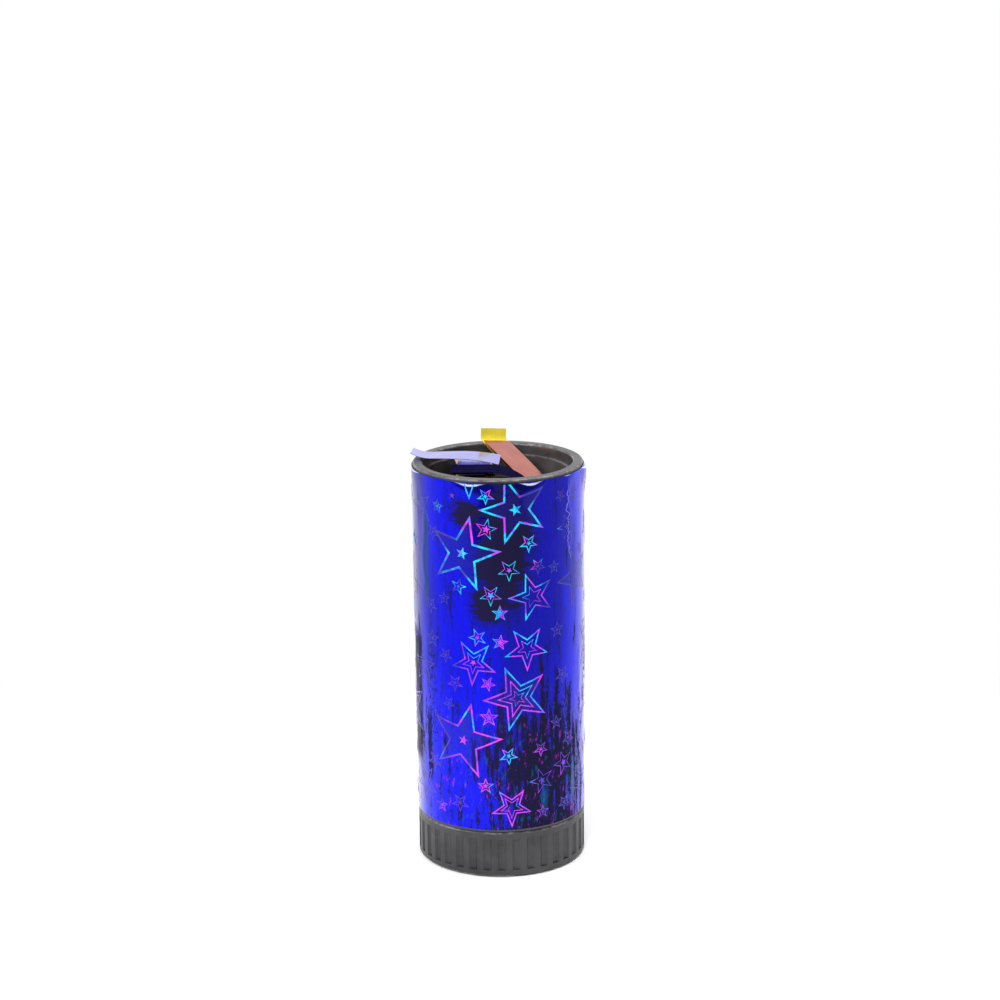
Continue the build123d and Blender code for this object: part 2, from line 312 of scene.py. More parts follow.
def make_lay_on_foil_tree(foil_surface):
    """A flat sheet gets its thickness, is kept as flat_place, and is wrapped on the foil's surface."""
    tree, given = new_geometry_tree(
        "lay_on_foil", ("Thickness", "Float", 0.1 * mm), ("Bottom", "Float", 0.0))
    place = put(tree, "GeometryNodeInputPosition")
    sheet = step(given["Geometry"], "GeometryNodeSetPosition", {"Offset": vector(0.0, 0.0, given["Bottom"])})
    upper = step(sheet, "GeometryNodeExtrudeMesh", {
        "Offset Scale": given["Thickness"], "Individual": False}, mode="FACES")
    lower = step(sheet, "GeometryNodeFlipFaces")
    closed = step(join([lower, upper]), "GeometryNodeMergeByDistance", {"Distance": sheet_weld})
    kept = step(closed, "GeometryNodeStoreNamedAttribute", {
        "Name": "flat_place", "Value": place}, data_type="FLOAT_VECTOR", domain="POINT")
    surface = add(tree, "GeometryNodeGroup", node_tree=foil_surface)
    feed(place, surface.inputs["Flat Place"])
    wrapped = step(kept, "GeometryNodeSetPosition", {"Position": Value(surface.outputs["Position"])})
    smooth = step(wrapped, "GeometryNodeSetShadeSmooth", {"Shade Smooth": True}, domain="FACE")
    turned = calc("GREATER_THAN", put(tree, "GeometryNodeInputMeshEdgeAngle"), sharp_angle)
    sharp = step(smooth, "GeometryNodeSetShadeSmooth", {
        "Selection": turned, "Shade Smooth": False}, domain="EDGE")
    return end_geometry_tree(sharp, given["Material"])


# Kinds of star: line width as a share of the star's size, points along its outline
star_kinds = {
    "wide": (0.041, 80), "middle": (0.050, 50), "fine": (0.096, 30), "solid": (0.0, 20),
    "hair": (0.046, 40), "bold": (0.052, 80),
}
kind_numbers = {kind: number for number, kind in enumerate(star_kinds)}
star_inner_share = 0.40
# Share of a star's size from its middle to the line of an edge
tip_angle = math.radians(36)
line_reach = star_inner_share * math.sin(tip_angle) / math.sqrt(
    1 - 2 * star_inner_share * math.cos(tip_angle) + star_inner_share ** 2)


def make_star_pattern_tree():
    """Flat five-point stars at marked points: outlines of five widths, and solid ones."""
    tree, given = new_geometry_tree("star_pattern", ("Inner Share", "Float", star_inner_share))

    def mark(name, data_type):
        return put(tree, "GeometryNodeInputNamedAttribute", {"Name": name}, data_type=data_type)

    radius = mark("star_radius", "FLOAT")
    turn = put(tree, "FunctionNodeEulerToRotation", {"Euler": vector(0.0, 0.0, mark("star_turn", "FLOAT"))})
    stars = []
    for kind, (line_share, points) in star_kinds.items():
        star = put(tree, "GeometryNodeCurveStar", {
            "Points": 5, "Inner Radius": given["Inner Share"], "Outer Radius": 1.0, "Twist": 0.0})
        edges = [step(star, "GeometryNodeResampleCurve", {"Count": points})]
        if line_share:
            share = 1.0 - line_share / line_reach
            edges.append(step(edges[0], "GeometryNodeTransform", {"Scale": (share, share, 1.0)}))
        sheet = step(join(edges), "GeometryNodeFillCurve", mode="TRIANGLES")
        chosen = put(tree, "FunctionNodeCompare", {
            2: mark("star_kind", "INT"), 3: kind_numbers[kind]}, data_type="INT", operation="EQUAL")
        stars.append(step(given["Geometry"], "GeometryNodeInstanceOnPoints", {
            "Selection": chosen, "Instance": sheet, "Rotation": turn, "Scale": vector(radius, radius, 1.0)}))
    return end_geometry_tree(join(stars), given["Material"])


def make_spring_tree():
    """Round wire along a given path."""
    tree, given = new_geometry_tree("spring_wire", ("Wire Radius", "Float", wire_r))
    path = step(given["Geometry"], "GeometryNodeMeshToCurve")
    profile = put(tree, "GeometryNodeCurvePrimitiveCircle", {
        "Resolution": wire_sides, "Radius": given["Wire Radius"]})
    wire = step(path, "GeometryNodeCurveToMesh", {"Profile Curve": profile, "Fill Caps": True})
    smooth = step(wire, "GeometryNodeSetShadeSmooth", {"Shade Smooth": True})
    return end_geometry_tree(smooth, given["Material"])


def grown(mesh, tree, values, name):
    """Plain mesh that a Geometry Nodes tree makes from a mesh."""
    carrier = new_piece(name + "_carrier", mesh)
    modifier = carrier.modifiers.new(tree.name, "NODES")
    modifier.node_group = tree
    for item in tree.interface.items_tree:
        if item.in_out == "INPUT" and item.name in values:
            modifier[item.identifier] = values[item.name]
    carrier.update_tag()
    seen = carrier.evaluated_get(bpy.context.evaluated_depsgraph_get())
    made = bpy.data.meshes.new_from_object(seen)
    made.name = name
    carrier.modifiers.remove(modifier)
    bpy.data.objects.remove(carrier)
    return made


def new_piece(name, data):
    piece = bpy.data.objects.new(name, data)
    bpy.context.scene.collection.objects.link(piece)
    return piece


# Shader groups

scratch_cells = 420.0
scratch_breaks = 160.0
edge_line_breaks = 330.0


def object_place(tree):
    return put(tree, "ShaderNodeTexCoord", output="Object")


def make_grain_group():
    """Fine moulded or rolled grain and soft cloudy variation, with sizes in millimetres."""
    tree, given = new_group(
        "grain", "ShaderNodeTree", ("Grain Size", "Float", 0.3), ("Cloud Size", "Float", 8.0))
    place = object_place(tree)
    end_group(tree, {
        name: noise(place, 1 / mm / given[name + " Size"], detail=3.0, roughness=roughness)
        for name, roughness in (("Grain", 0.6), ("Cloud", 0.55))})


def make_scuff_group():
    """Net of thin scratches, broken up so that only short ones are left."""
    tree, given = new_group("scuffs", "ShaderNodeTree", ("Amount", "Float", 0.5))
    place = object_place(tree)
    cell = put(tree, "ShaderNodeTexVoronoi", {
        "Vector": place, "Scale": scratch_cells, "Randomness": 1.0}, feature="DISTANCE_TO_EDGE")
    line = remap(cell, 0.0, 0.045, 1.0, 0.0)
    broken = remap(noise(place, scratch_breaks), 0.52, 0.72)
    end_group(tree, {"Scuff": line * broken * given["Amount"]})


def make_edge_wear_and_highlight_group():
    """Paler line along a round edge about Z, broken up here and there: painted highlight where the edge
    catches light, and wear.
    """
    tree, given = new_group(
        "edge_wear_and_highlight", "ShaderNodeTree", ("Edge Radius", "Float", 20.0 * mm),
        ("Edge Height", "Float", 100.0 * mm), ("Edge Width", "Float", 0.5 * mm))
    place = object_place(tree)
    x, y, z = split(place)
    off = distance(distance(x, y) - given["Edge Radius"], z - given["Edge Height"])
    line = remap(off, given["Edge Width"], given["Edge Width"] * 0.3)
    broken = remap(noise(place, edge_line_breaks, detail=4.0, roughness=0.65), 0.40, 0.62)
    end_group(tree, {"Wear And Highlight": line * broken})


# Painted light on the flat foil, and the film's fine streaks: painted dark reflections, painted glints and
# painted highlights, all in millimetres

# Painted dark reflections in torn patches, and painted magenta reflections as blushes: along, up, half width,
# half height
painted_dark_patches = (
    (1.0, 101.0, 9.5, 21.0), (-3.5, 84.0, 6.0, 7.0), (-9.0, 109.5, 6.0, 4.2), (44.0, 62.0, 11.0, 24.0),
    (-46.0, 90.0, 10.0, 20.0), (74.0, 88.0, 9.0, 22.0), (-68.0, 52.0, 10.0, 20.0),
)
painted_blush_places = ((34.5, 114.0, 3.6, 6.0), (24.3, 18.0, 1.3, 3.4), (-58.0, 64.0, 2.4, 7.0))
# Painted dark reflections in runs, painted highlights along fine creases, runs of painted speckled reflection
# and runs of painted teal reflection: along, bottom, top, half width
painted_dark_runs = (
    (-31.6, 28.0, 75.0, 4.6), (-24.0, 24.0, 52.0, 1.5), (12.6, 40.0, 72.0, 0.8), (0.4, 36.0, 57.0, 0.9),
    (17.5, 24.0, 66.0, 1.0), (-30.0, 66.0, 80.0, 0.8), (40.0, 30.0, 70.0, 1.4), (-52.0, 28.0, 72.0, 1.4),
)
# Painted highlights along fine creases
painted_crease_lines = (
    (23.0, 94.0, 119.0, 0.20), (25.0, 84.0, 103.0, 0.17), (-49.0, 86.0, 112.0, 0.16),
    (-70.0, 60.0, 84.0, 0.13), (52.0, 70.0, 112.0, 0.2), (-57.0, 40.0, 88.0, 0.2), (68.0, 30.0, 74.0, 0.18),
)
painted_speckle_runs = (
    (-22.5, 36.0, 72.0, 2.6), (21.5, 24.0, 60.0, 2.4), (56.0, 30.0, 80.0, 2.6), (-64.0, 60.0, 104.0, 2.6),
)
painted_teal_runs = (
    (-24.4, 78.0, 113.0, 1.3), (24.5, 17.0, 36.0, 1.2), (13.5, 16.0, 30.0, 1.5), (-48.0, 40.0, 70.0, 1.4),
)
run_fade = 7.0
# Places where the painted dark reflection on the lower film is darkest: along, half width
painted_dark_falls = ((13.0, 15.0), (-62.0, 14.0), (70.0, 12.0))
low_film_from = 64.0
low_film_full = 34.0
# Painted highlight: a bright line below the rim where the top edge is loose
painted_highlight_height = 119.3
full_painted_highlight_lift = 0.42
# Bands round the barrel of painted light: a painted dimmer reflection on the film and painted glints on the
# star lines
painted_light_bands_round = 3.0


def film_runs(along, up, mottle, places, drift=2.2, drift_length=9.0, ragged=2.4):
    """Mask of ragged upright runs that drift sideways on their way up."""
    found = []
    for number, (place, low, high, half_width) in enumerate(places):
        middle = wander(up, drift_length, number * 3.7, 2.0, drift) + place
        run = remap(abs(along - middle) + swing(mottle, ragged), half_width, half_width * 0.45)
        found.append(run * remap(up, low, low + run_fade) * remap(up, high, high - run_fade))
    return largest(*found)


def loose_edge_painted_highlight(along, up, mottle):
    """Mask of the painted highlight: bowed bright lines along the loose top edge."""
    bow = sum(
        bell(along, place, spread) * min(1.0, lift / full_painted_highlight_lift) for place, spread, lift in loose_places)
    off = abs(up + bow - painted_highlight_height + swing(mottle, 0.35))
    return remap(bow - off * 2.1, 0.22, 0.50)


def make_foil_streaks_and_painted_light_group():
    """Masks from a place on the flat foil: painted dark reflections in torn patches and runs, painted
    coloured glints, a painted dimmer reflection in bands, painted highlights along creases and the loose top
    edge, and the film's fine streaks.
    """
    tree, given = new_group("foil_streaks_and_painted_light", "ShaderNodeTree", ("Flat Place", "Vector", None))
    along, up = split(put(tree, "ShaderNodeVectorMath", {
        0: given["Flat Place"], "Scale": 1 / mm}, operation="SCALE"))[:2]

    def film_noise(width, height, seed, detail=3.0, line=along):
        return flat_noise(line, up, width, height, seed, detail, 0.6)

    streak = film_noise(1.3, 26.0, 0.0, 4.0)
    mottle = film_noise(0.5, 1.3, 7.0, 2.0)
    stroke = film_noise(5.0, 1.5, 4.0, line=along + up * 0.9)
    cloud = film_noise(7.0, 9.0, 13.0, 2.0)

    def runs(places, *drift):
        return film_runs(along, up, mottle, places, *drift)

    # Painted dark reflections: ragged patches, the darker lower film and runs, with a softer painted dusk
    # round them
    painted_dark_ovals = [1.0 - oval(along, up, place) for place in painted_dark_patches]
    torn = largest(*painted_dark_ovals, -1.0) + swing(stroke, 2.2) + swing(cloud, 1.6)
    painted_dusk = remap(torn + swing(mottle, 0.5), -0.75, 0.30)

    low = remap(up, low_film_from, low_film_full)
    darkest = sum(bell(along, place, half_width) for place, half_width in painted_dark_falls)
    painted_dark_fall = film_noise(1.7, 15.0, 11.0) + swing(mottle, 0.34) + low * 0.05 + darkest * low * 0.28

    # Painted reflections of the coloured slips: dark and bright speckles, teal glints, magenta sparks and
    # blushes
    painted_speckle = runs(painted_speckle_runs)
    painted_dark_speck = painted_speckle * remap(mottle, 0.48, 0.42)
    painted_bright_speck = painted_speckle * remap(mottle, 0.56, 0.64, 0.0, 0.8)
    painted_teal_glint = remap(film_noise(1.6, 5.0, 21.0) + swing(mottle, 0.2), 0.60, 0.68)
    painted_magenta_spark = remap(film_noise(1.3, 3.4, 33.0) + swing(mottle, 0.25), 0.60, 0.70)
    ragged = swing(streak, 5.0) + swing(mottle, 1.5)
    painted_blushes = [remap(oval(along, up, place) + ragged, 0.8, -0.6) for place in painted_blush_places]

    # Painted dimmer reflection: the deeper blue, in bands round the barrel and in clouds
    painted_light_band = calc("SINE", along / (foil_face_r / mm) * painted_light_bands_round + 0.2)
    painted_dim_reflection = painted_light_band * 0.5 + swing(film_noise(14.0, 40.0, 2.2, 1.0), 1.3)

    end_group(tree, {
        "Painted Dark Reflection": largest(remap(torn, 0.10, 0.50), remap(painted_dark_fall, 0.61, 0.72), runs(painted_dark_runs), painted_dark_speck),
        "Painted Dusk Reflection": largest(painted_dusk, remap(painted_dark_fall, 0.50, 0.68)),
        "Painted Teal Glint": largest(painted_teal_glint * low, runs(painted_teal_runs), painted_bright_speck),
        "Painted Magenta Glint": largest(painted_magenta_spark * low, *painted_blushes),
        "Streak": streak,
        "Painted Dim Reflection": remap(painted_dim_reflection, -0.32, 0.30),
        "Painted Edge Highlight": loose_edge_painted_highlight(along, up, mottle),
        "Painted Crease Highlight": runs(painted_crease_lines, 8.0, 4.5, 0.2),
    })


# Materials

def new_material(name):
    material = bpy.data.materials.new(name)
    material.use_nodes = True
    return material, material.node_tree


def use_group(tree, name, **values):
    """Outputs of a shader group by name."""
    made = add(tree, "ShaderNodeGroup", node_tree=bpy.data.node_groups[name])
    for label, value in values.items():
        feed(value, made.inputs[label.replace("_", " ").title()])
    return {output.name: Value(output) for output in made.outputs}


def dress(material, values):
    """Link or set the sockets of the material's own shader."""
    shader = material.node_tree.nodes["Principled BSDF"]
    for name, value in values.items():
        feed(value, shader.inputs[name])
    return material


def bump(height, depth, strength):
    return put(height.tree, "ShaderNodeBump", {"Height": height, "Distance": depth, "Strength": strength})


def flat_place(tree):
    return put(tree, "ShaderNodeAttribute", output="Vector", attribute_name="flat_place")


electric_blue = (0.002, 0.004, 0.88, 1)
painted_dim_blue = (0.003, 0.003, 0.43, 1)
streak_blue = (0.003, 0.004, 0.22, 1)
# Painted light laid over the film's blues in turn, as painted dark reflections, painted glints and painted
# highlights: mark, share, colour
painted_light_tints = (
    ("Painted Dusk Reflection", 0.6, (0.004, 0.005, 0.16, 1)), ("Painted Dark Reflection", 0.96, (0.011, 0.009, 0.026, 1)),
    ("Painted Teal Glint", 0.8, (0.002, 0.060, 0.15, 1)), ("Painted Magenta Glint", 0.6, (0.36, 0.02, 0.46, 1)),
    ("Painted Crease Highlight", 0.75, (0.34, 0.30, 0.86, 1)), ("Painted Edge Highlight", 1.0, (0.84, 0.97, 1.0, 1)),
)
# Low, so that the painted dark reflections stay dark where they are seen at a slant
painted_dark_ior = 1.05


def make_foil_material():
    """Blue metallic film under a clear face, with fine streaks: two blues, the deeper one a painted dimmer
    reflection, with painted dark reflections in torn places, painted glints and painted highlights.
    """
    material, tree = new_material("blue_star_foil")
    marks = use_group(tree, "foil_streaks_and_painted_light", flat_place=flat_place(tree))
    painted_dark = marks["Painted Dark Reflection"]
    # The deeper blue is a painted dimmer reflection
    colour = blend_colour(marks["Painted Dim Reflection"], electric_blue, painted_dim_blue)
    colour = blend_colour(remap(marks["Streak"], 0.42, 0.70, 0.0, 0.22), colour, streak_blue)
    for mark, share, tint in painted_light_tints:
        colour = blend_colour(marks[mark] * share, colour, tint)
    return dress(material, {
        "Base Color": colour, "IOR": painted_dark_ior,
        "Metallic": remap(painted_dark, 0.0, 1.0, 1.0, 0.04), "Roughness": remap(painted_dark, 0.0, 1.0, 0.13, 0.22),
        "Coat Weight": remap(painted_dark, 0.0, 1.0, 1.0, 0.10), "Coat IOR": 1.21, "Coat Roughness": 0.04,
        "Normal": bump(marks["Streak"] - painted_dark * 0.3, 0.05 * mm, 0.4),
    })


# Colours along the star lines, from violet and magenta through blues and cyan to violet
rainbow_stops = (
    (0.0, (0.35, 0.03, 0.75, 1)), (0.20, (0.80, 0.04, 0.88, 1)), (0.34, (0.86, 0.05, 0.86, 1)),
    (0.40, (0.04, 0.12, 0.92, 1)), (0.50, (0.0, 0.42, 1.0, 1)), (0.62, (0.0, 0.72, 1.0, 1)),
    (0.80, (0.0, 0.60, 0.98, 1)), (0.90, (0.03, 0.20, 0.95, 1)), (1.0, (0.55, 0.04, 0.90, 1)),
)
softer_tint = (0.62, 0.50, 1.0, 1)
faint_line = (0.055, 0.035, 0.36, 1)


def make_star_material():
    """Embossed rainbow lines with a painted glint: bright in bands round the barrel, faint between them;
    softer lower down.
    """
    material, tree = new_material("rainbow_star_lines")
    along, up = split(flat_place(tree))[:2]

    def clouds(width, height, seed):
        return flat_noise(along, up, width * mm, height * mm, seed)

    higher = remap(up, 40.0 * mm, 95.0 * mm, -0.145, 0.045)
    hue = clouds(7.0, 8.0, 410.5) + clouds(1.4, 1.6, 25.8) * 0.3 + higher
    ramp = add(tree, "ShaderNodeValToRGB", {"Fac": remap(hue, 0.42, 0.82, smooth=False)})
    stops = ramp.color_ramp.elements
    while len(stops) < len(rainbow_stops):
        stops.new(0.5)
    for stop, (place, colour) in zip(stops, rainbow_stops):
        stop.position = place
        stop.color = colour
    lower = remap(up, 60.0 * mm, 100.0 * mm, 0.35, -0.05)
    softer = remap(lower + clouds(5.0, 6.0, 14.4), 0.50, 0.72, 0.0, 0.72)
    rainbow = blend_colour(softer, Value(ramp.outputs["Color"]), softer_tint, "MULTIPLY")
    # Painted glint of the star lines: bright in bands round the barrel and in clouds, faint between
    painted_light_band = calc("COSINE", along / foil_face_r * painted_light_bands_round)
    painted_glint = painted_light_band * 0.27 + clouds(8.0, 10.0, 9.1) + clouds(2.2, 2.6, 3.2) * 0.35
    painted_glint = remap(painted_glint, 0.52, 0.86, 0.04, 1.0)
    return dress(material, {
        "Base Color": blend_colour(painted_glint, faint_line, rainbow),
        "Metallic": remap(painted_glint, 0.1, 1.0, 0.9, 0.25), "Roughness": 0.3,
        "Coat Weight": 0.5, "Coat IOR": 1.3, "Coat Roughness": 0.06,
    })


def make_field_material():
    """Film inside the larger stars: duller and greyer, with the same painted dark reflections, painted dimmer
    reflection and streaks.
    """
    material, tree = new_material("star_field_film")
    marks = use_group(tree, "foil_streaks_and_painted_light", flat_place=flat_place(tree))
    painted_dark = marks["Painted Dark Reflection"]
    grain = use_group(tree, "grain", grain_size=0.6, cloud_size=4.0)
    # The deeper blue is a painted dimmer reflection
    colour = blend_colour(marks["Painted Dim Reflection"], (0.006, 0.008, 0.60, 1), (0.008, 0.007, 0.27, 1))
    colour = blend_colour(remap(grain["Cloud"], 0.4, 0.65, 0.0, 0.3), colour, (0.025, 0.028, 0.28, 1))
    # Painted dark reflection
    colour = blend_colour(painted_dark * 0.85, colour, (0.012, 0.009, 0.060, 1))
    return dress(material, {
        "Base Color": colour, "IOR": painted_dark_ior,
        "Metallic": remap(painted_dark, 0.0, 1.0, 1.0, 0.06),
        "Roughness": remap(grain["Grain"], 0.3, 0.7, 0.2, 0.3),
        "Coat Weight": remap(painted_dark, 0.0, 1.0, 1.0, 0.15), "Coat IOR": 1.23, "Coat Roughness": 0.06,
        "Normal": bump(marks["Streak"], 0.05 * mm, 0.45),
    })


# Grey of the painted highlight and wear along round edges
edge_wear_highlight_grey = (0.21, 0.20, 0.22, 1)
# By node: name, two colours, roughness, scuffs, grain in mm, round edges with painted highlight and wear in
# mm (radius, height, width)
plastics = {
    "barrel_tube": ("barrel_black", (0.026, 0.024, 0.026, 1), (0.085, 0.079, 0.080, 1), 0.34, 0.4, 0.35,
                    ((24.75, 119.9, 0.55), (21.9, 119.9, 0.5))),
    # Painted light: the sleeve's colour is paler than the barrel's to make up for the dimmer light inside the
    # mouth
    "guide_sleeve": ("sleeve_black_painted_lighter", (0.050, 0.043, 0.045, 1), (0.110, 0.098, 0.098, 1), 0.42, 0.4, 0.35,
                     ((20.55, 116.8, 0.45),)),
    "twist_base": ("base_black", (0.014, 0.014, 0.016, 1), (0.070, 0.070, 0.072, 1), 0.42, 0.6, 0.5,
                   ((24.6, 13.8, 0.5), (24.3, 0.4, 0.6))),
    "base_plate": ("plate_black", (0.018, 0.018, 0.019, 1), (0.060, 0.060, 0.060, 1), 0.5, 0.7, 0.6, ()),
    "piston": ("piston_grey", (0.11, 0.115, 0.12, 1), (0.20, 0.20, 0.21, 1), 0.42, 0.4, 0.35, ()),
    "latch_post": ("post_grey", (0.10, 0.105, 0.11, 1), (0.18, 0.18, 0.19, 1), 0.42, 0.4, 0.35, ()),
}


def make_plastic(name, colour, worn_colour, roughness, scuff_amount, grain_size, highlit_worn_edges):
    """Satin moulded plastic with fine grain, cloudy gloss, light scuffs, and round edges paler with painted
    highlight and wear.
    """
    material, tree = new_material(name)
    grain = use_group(tree, "grain", grain_size=grain_size, cloud_size=9.0)
    scuff = use_group(tree, "scuffs", amount=scuff_amount)["Scuff"]
    base = blend_colour(remap(grain["Cloud"], 0.35, 0.65, 0.0, 0.35), colour, worn_colour)
    base = blend_colour(scuff, base, worn_colour)
    for radius, height, width in highlit_worn_edges:
        wear_and_highlight = use_group(
            tree, "edge_wear_and_highlight", edge_radius=radius * mm, edge_height=height * mm, edge_width=width * mm)
        # Painted highlight and wear along the round edges
        base = blend_colour(wear_and_highlight["Wear And Highlight"] * 0.8, base, edge_wear_highlight_grey)
    return dress(material, {
        "Base Color": base,
        "Roughness": remap(grain["Cloud"], 0.3, 0.7, roughness - 0.07, roughness + 0.09),
        "Normal": bump(grain["Grain"] - scuff * 0.8, 0.02 * mm, 0.5),
    })


def make_slip_material(name, colour, deep_colour, gloss, metal=1.0, clear=0.35):
    """Metallised film: rolling lines along the slip, cloudy tone and tiny scratches."""
    material, tree = new_material(name + "_slip_film")
    along, across = split(put(tree, "ShaderNodeUVMap", uv_map="slip"))[:2]
    lines = noise(vector(along * 2.0, across * 60.0, 1.0), detail=3.0)
    grain = use_group(tree, "grain", grain_size=0.25, cloud_size=6.0)
    scuff = use_group(tree, "scuffs", amount=0.3)["Scuff"]
    tone = remap(lines * 0.5 + grain["Cloud"] * 0.5, 0.38, 0.62)
    return dress(material, {
        "Base Color": blend_colour(tone, colour, deep_colour),
        "Metallic": metal, "Specular IOR Level": 0.5 if metal else 0.001,
        "Roughness": remap(lines, 0.3, 0.7, gloss - 0.04, gloss + 0.06),
        "Coat Weight": clear, "Coat Roughness": 0.12,
        "Normal": bump(lines * 0.6 + scuff * 0.5, 0.02 * mm, 0.35),
    })


def make_card_material():
    """Black pressed card with pale fibres."""
    material, tree = new_material("black_card")
    grain = use_group(tree, "grain", grain_size=0.5, cloud_size=5.0)
    x, y, z = split(object_place(tree))
    fibre = remap(noise(vector(x * 2600.0, y * 500.0, z), detail=3.0, distortion=1.5), 0.60, 0.74)
    tone = blend_colour(grain["Cloud"], (0.020, 0.019, 0.020, 1), (0.040, 0.038, 0.040, 1))
    return dress(material, {
        "Base Color": blend_colour(fibre * 0.5, tone, (0.10, 0.095, 0.09, 1)),
        "Roughness": remap(grain["Grain"], 0.3, 0.7, 0.78, 0.95),
        "Normal": bump(grain["Grain"] + fibre, 0.04 * mm, 0.6),
    })


def make_steel_material():
    """Drawn spring wire, slightly oiled."""
    material, tree = new_material("spring_wire_steel")
    grain = use_group(tree, "grain", grain_size=0.4, cloud_size=7.0)
    return dress(material, {
        "Base Color": blend_colour(grain["Cloud"], (0.42, 0.42, 0.43, 1), (0.24, 0.23, 0.22, 1)),
        "Metallic": 1.0,
        "Roughness": remap(grain["Grain"], 0.3, 0.7, 0.24, 0.42),
        "Normal": bump(grain["Grain"], 0.01 * mm, 0.4),
    })


# Foil and stars

# Stars on the flat foil, in millimetres and degrees: along, up, size, direction of one tip, sizes inside
big_stars = (
    (4.9, 111.3, 10.6, 180, 1.9), (-10.7, 98.2, 11.7, 5, 1.9), (5.0, 55.2, 10.3, 183, 6.0, 2.6),
    (-11.1, 42.0, 12.0, 5, 1.5), (27.0, 88.0, 9.2, 180, 1.6), (38.5, 66.0, 11.0, 0, 7.4, 1.8),
    (-38.0, 84.0, 11.0, 0, 1.9), (-36.5, 47.0, 10.4, 180, 7.0, 1.8),
)
middle_stars = (
    (9.8, 85.3, 7.4, 180, 3.4), (-7.7, 65.9, 7.2, -94, 3.6, 1.0), (8.0, 70.0, 7.0, -90, 3.2),
    (-8.2, 121.0, 6.7, -90), (-27.0, 61.5, 6.0, 90, 3.4), (31.0, 48.0, 6.4, -90, 3.6),
    (-27.5, 109.5, 6.4, 180, 3.6), (29.5, 24.0, 6.2, 180, 3.4), (3.0, 22.0, 6.3, -90, 3.6),
    (-27.0, 25.5, 6.4, -90, 3.6), (38.5, 101.0, 6.2, -90, 3.4),
)
small_stars = (
    (-3.5, 115.4, 2.6, -90, 0.9), (-3.5, 105.7, 3.3, 6, 1.3), (8.7, 101.2, 2.9, -90, 0.8),
    (11.5, 94.1, 2.6, -90, 0.8), (2.9, 93.6, 3.4, -90, 0.9), (-2.4, 86.2, 3.3, -90, 1.4),
    (0.2, 80.9, 2.5, 90, 1.3), (-12.0, 88.3, 2.6, -70, 0.6), (22.3, 104.0, 4.1, 180, 1.2),
    (19.6, 113.6, 2.0, -90, 0.6), (-6.4, 73.5, 2.9, -105, 0.8), (0.1, 72.2, 2.5, 80, 1.2),
    (-13.6, 59.1, 2.7, -90, 0.9), (-3.5, 59.7, 2.4, -80, 1.1), (-3.3, 49.5, 3.0, 90, 1.3),
    (-15.8, 52.6, 2.3, -90, 0.8), (2.2, 37.8, 2.9, 60, 0.9), (12.3, 29.2, 4.1, 180, 1.2),
    (12.0, 38.9, 2.5, -90, 0.8), (20.3, 32.9, 4.0, 180, 1.2), (-16.7, 67.0, 2.5, -90, 0.9),
    (-22.0, 71.0, 3.0, 90, 1.0), (18.0, 74.0, 2.6, 90, 0.8), (20.0, 60.0, 3.0, -90, 1.0),
    (17.5, 46.0, 2.4, 90, 0.8), (22.5, 40.0, 2.8, -90, 0.9), (37.0, 36.0, 3.0, 90, 1.0),
    (20.5, 20.5, 2.6, -90, 0.8), (-4.5, 28.5, 2.6, 90, 0.9), (-12.5, 22.5, 3.0, -90, 1.0),
    (12.5, 19.5, 2.2, 90, 0.7), (-21.0, 103.0, 2.6, -90, 0.8), (-33.0, 98.5, 2.6, 90, 0.9),
    (-22.5, 81.0, 2.8, -90, 0.9), (-17.0, 84.0, 2.2, 90, 0.7), (-34.0, 70.0, 2.8, -90, 0.9),
    (-38.0, 60.0, 2.6, 90, 0.8), (-22.0, 33.5, 3.0, -90, 1.0), (-36.5, 34.0, 2.6, 90, 0.9),
    (-19.0, 20.5, 2.4, 90, 0.8), (-37.0, 21.5, 3.0, -90, 1.0), (-37.5, 111.5, 3.0, -90, 1.0),
    (-13.6, 114.9, 1.0, 90), (25.5, 112.5, 2.4, 90, 0.8), (37.0, 113.5, 2.6, 100, 0.9),
    (30.0, 96.0, 2.2, -90, 0.7), (17.0, 93.0, 2.2, 90, 0.7), (36.5, 79.5, 2.2, -90, 0.7),
    (-19.0, 111.0, 2.4, -60, 0.8),
)
# Stars nearer the front than this are mirrored across the back
side_from = 33.5
# Sizes and the height that choose a star's kind
outline_from = 1.95
middle_from = 3.3
wide_from = 7.5
bold_above = 95.0
# Fields inside the larger stars, and the edge of the foil that stays free of stars
field_share = 0.97
star_margin = 0.3 * mm
field_thickness = 0.04 * mm
line_thickness = 0.06 * mm
star_bottom = -0.02 * mm


def star_kind(size, up, inner):
    """Small stars are solid, stars inside others have hair lines, and large ones high up bold lines."""
    if size < outline_from:
        return "solid"
    if inner:
        return "hair"
    if size >= wide_from:
        return "bold" if up > bold_above else "wide"
    return "middle" if size >= middle_from else "fine"


def make_star_marks(star_list, fields=False):
    """Points of the star pattern: once across the front and mirrored across the back; once at the sides."""
    marks = []
    for along, up, size, tip, *inside in star_list:
        places = [(along, tip)]
        if abs(along) < side_from:
            places.append((math.copysign(foil_half_round / mm, along) - along, 180 - tip))
        for place, direction in places:
            if fields:
                marks.append((place, up, size * field_share, direction, "solid"))
                continue
            marks.append((place, up, size, direction, star_kind(size, up, False)))
            marks += [(place, up, each, direction, star_kind(each, up, True)) for each in inside]
    mesh = bpy.data.meshes.new("star_marks")
    mesh.from_pydata([(mark[0] * mm, mark[1] * mm, 0) for mark in marks], [], [])
    for name, data_type, values in (
        ("star_radius", "FLOAT", [mark[2] * mm for mark in marks]),
        ("star_turn", "FLOAT", [math.radians(mark[3]) for mark in marks]),
        ("star_kind", "INT", [kind_numbers[mark[4]] for mark in marks]),
    ):
        mesh.attributes.new(name, data_type, "POINT").data.foreach_set("value", values)
    return mesh


